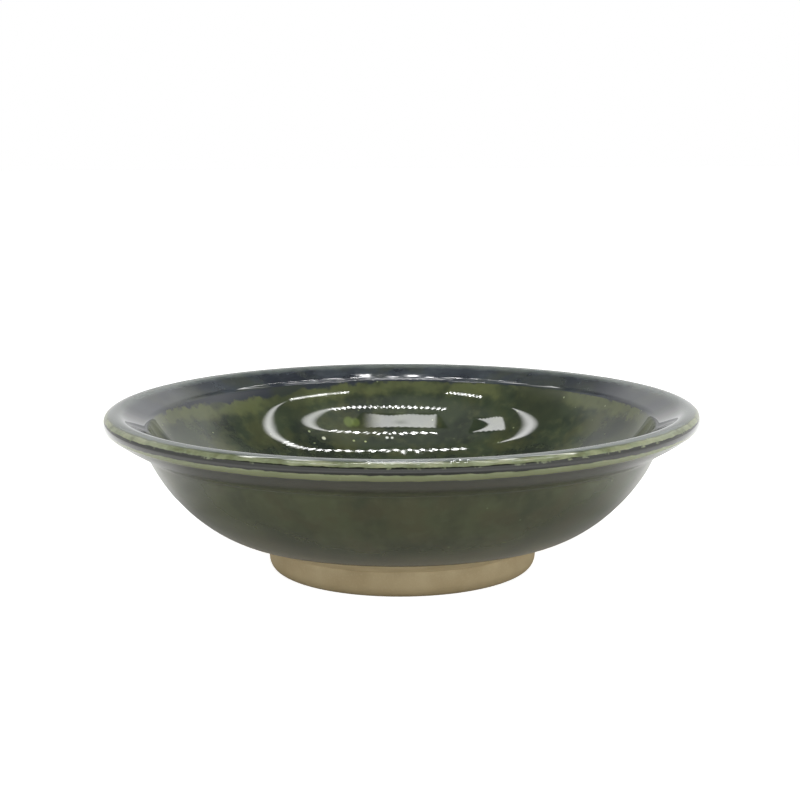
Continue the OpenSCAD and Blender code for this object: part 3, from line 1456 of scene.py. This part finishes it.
    def set_up(self) -> None:
        """Sets up everything round the dish."""
        self.lay_table()
        self.hang_lamps()
        self.place_fills()
        self.light_room()
        self.place_camera()
        bpy.context.scene.view_settings.view_transform = "Standard"


@dataclass
class Glazes:
    """The four glazes of the dish, with their stripes where the section says."""

    skin: Skin

    def starts(self, zone: Zone) -> float:
        """Gives the distance along the section at which a coat starts."""
        return self.skin.along[self.skin.span[zone][0]]

    def green(self) -> GlazeFinish:
        """Gives the green inside, which runs to olive under the crease and has pale spots, the smallest of
        them painted highlights on bubbles.
        """
        crease = self.starts(Zone.INNER)
        return GlazeFinish(
            "green_ash_glaze", "#252c23", "#353d2d", "#44472c", "#565c3d", warm_share=0.6, speck_share=0.6,
            stripes=(
                Stripe(crease, crease + 1.8, 1.8, "#585d3b", 0.6, 0.46),
                Stripe(crease - 5.0, crease - 0.5, 0.9, "#2a2e33"),
            ),
            rag_w=0.7, rag_mm=2.6, patch_mm=8.0,
            spots=(
                Spot(28.0, 33.0, 7.0, "#2f3527", 0.8), Spot(-22.5, 37.0, 5.0, "#2f3527", 0.6),
                Spot(-10.6, 37.2, 1.3, "#6f7f45", 0.5), Spot(-9.3, 37.4, 1.1, "#6f7f45", 0.4),
                # painted highlights: small pale and white dots where bubbles catch the lamps
                Spot(-15.4, 32.0, 0.5, "#d4d8be", 0.8), Spot(-18.3, 32.6, 0.3, "#9aa47c", 0.8),
                Spot(-9.5, 33.0, 0.3, "#b4bc84", 0.8), Spot(-7.2, 33.2, 0.28, "#b4bc84", 0.8),
                Spot(-2.9, 34.7, 0.4, "#f0f2ec"), Spot(-1.9, 34.7, 0.35, "#f0f2ec"),
            ),
        )

    def grey_blue(self) -> GlazeFinish:
        """Gives the band's grey-blue, which is paler over the crown as a painted highlight."""
        crown = self.starts(Zone.BAND)
        return GlazeFinish(
            "grey_blue_glaze", "#23272d", "#34393e", "#383c36", "#454b4c", speck_share=0.1,
            # painted highlight: the pale stripe over the crown stands in for a reflection along it
            stripes=(Stripe(crown - 1.0, crown + 0.6, 2.0, "#626864", 0.95),),
        )

    def breaking(self) -> GlazeFinish:
        """Gives the lip's glaze, which breaks to yellow-green between two darker lines, the lower one
        near-black painted shade, and which is pale over the crown as a painted highlight.

        Returns:
            The glaze of the lip.
        """
        lip = self.starts(Zone.LIP)
        crown = self.starts(Zone.BAND)
        return GlazeFinish(
            "breaking_green_glaze", "#646b4e", "#7a8164", "#878b6b", "#979f84", cloud_mm=4.0, fleck_mm=1.2,
            rag_w=0.1, rag_mm=2.2, patch_mm=1.6,
            stripes=(
                Stripe(lip - 1.0, lip + 0.65, 0.45, "#747a58", 0.9),
                # painted shade: a near-black line along the outer face of the lip's roll, darker than the
                # glaze itself
                Stripe(lip + 1.1, lip + 1.8, 0.2, "#15170f"),
                Stripe(lip + 1.8, lip + 2.15, 0.1, "#12160a", 1.0, 0.38),
                Stripe(lip + 3.2, lip + 3.5, 0.2, "#3a4038", 0.6),
                # painted highlight: the pale grey stripe over the crown stands in for a reflection along it
                Stripe(lip + 3.55, crown + 1.0, 0.35, "#626864"),
            ),
        )

    def dark_green(self) -> GlazeFinish:
        """Gives the duller outside, dark at its low edge, with painted light in the neck's hollow and painted
        shade under the flare.

        Returns:
            The glaze of the outside.
        """
        lip = self.starts(Zone.LIP)
        neck = lip - self.skin.section.flare_w
        return GlazeFinish(
            "dark_green_glaze", "#353926", "#42462f", "#423f2a", "#4d503a", roughness=0.2, warm_share=0.5,
            speck_share=0.15, rag_w=0.15,
            stripes=(
                Stripe(-1.0, 1.2, 0.8, "#37331d", 0.7),
                Stripe(-1.0, 0.15, 0.2, "#5a3c1e", 0.8),
                # painted light: a paler line in the neck's hollow, against the shade that falls there
                Stripe(neck + 0.2, neck + 0.8, 0.5, "#5a5c46", 0.45),
                # painted shade: the underside of the flare is darkened where it faces the table
                Stripe(neck + 2.3, lip, 1.0, "#222416", 0.85),
                Stripe(lip - 0.25, lip + 1.0, 0.4, "#767b54", 0.9),
            ),
        )


def main() -> None:
    """Builds the dish piece by piece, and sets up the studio."""
    logging.basicConfig(level=logging.INFO, format="%(name)s: %(message)s")
    section = Section.from_frame()
    skin = Skin(section, HandMarks())
    glazes = Glazes(skin)
    body = BareClayFinish("stoneware_body", body="#c4b48f", shade="#b5a580", wiped="#cdc0a0")
    foot = FootRing(section, BareClayFinish(body="#ac9e7e", shade="#998a6a", wiped="#baac8e"))
    parts = [
        ClayBowl(skin, body, foot.hollow_r),
        foot,
        Coat(skin, Zone.INNER, glazes.green(), "green_glaze"),
        Coat(skin, Zone.BAND, glazes.grey_blue(), "grey_blue_glaze"),
        Coat(skin, Zone.LIP, glazes.breaking(), "breaking_glaze"),
        Coat(skin, Zone.OUTER, glazes.dark_green(), "dark_green_glaze"),
    ]
    for part in parts:
        piece = part.dress()
        log.info("%s: %d faces", piece.name, len(piece.data.polygons))
    Studio().set_up()


if __name__ == "__main__":
    main()
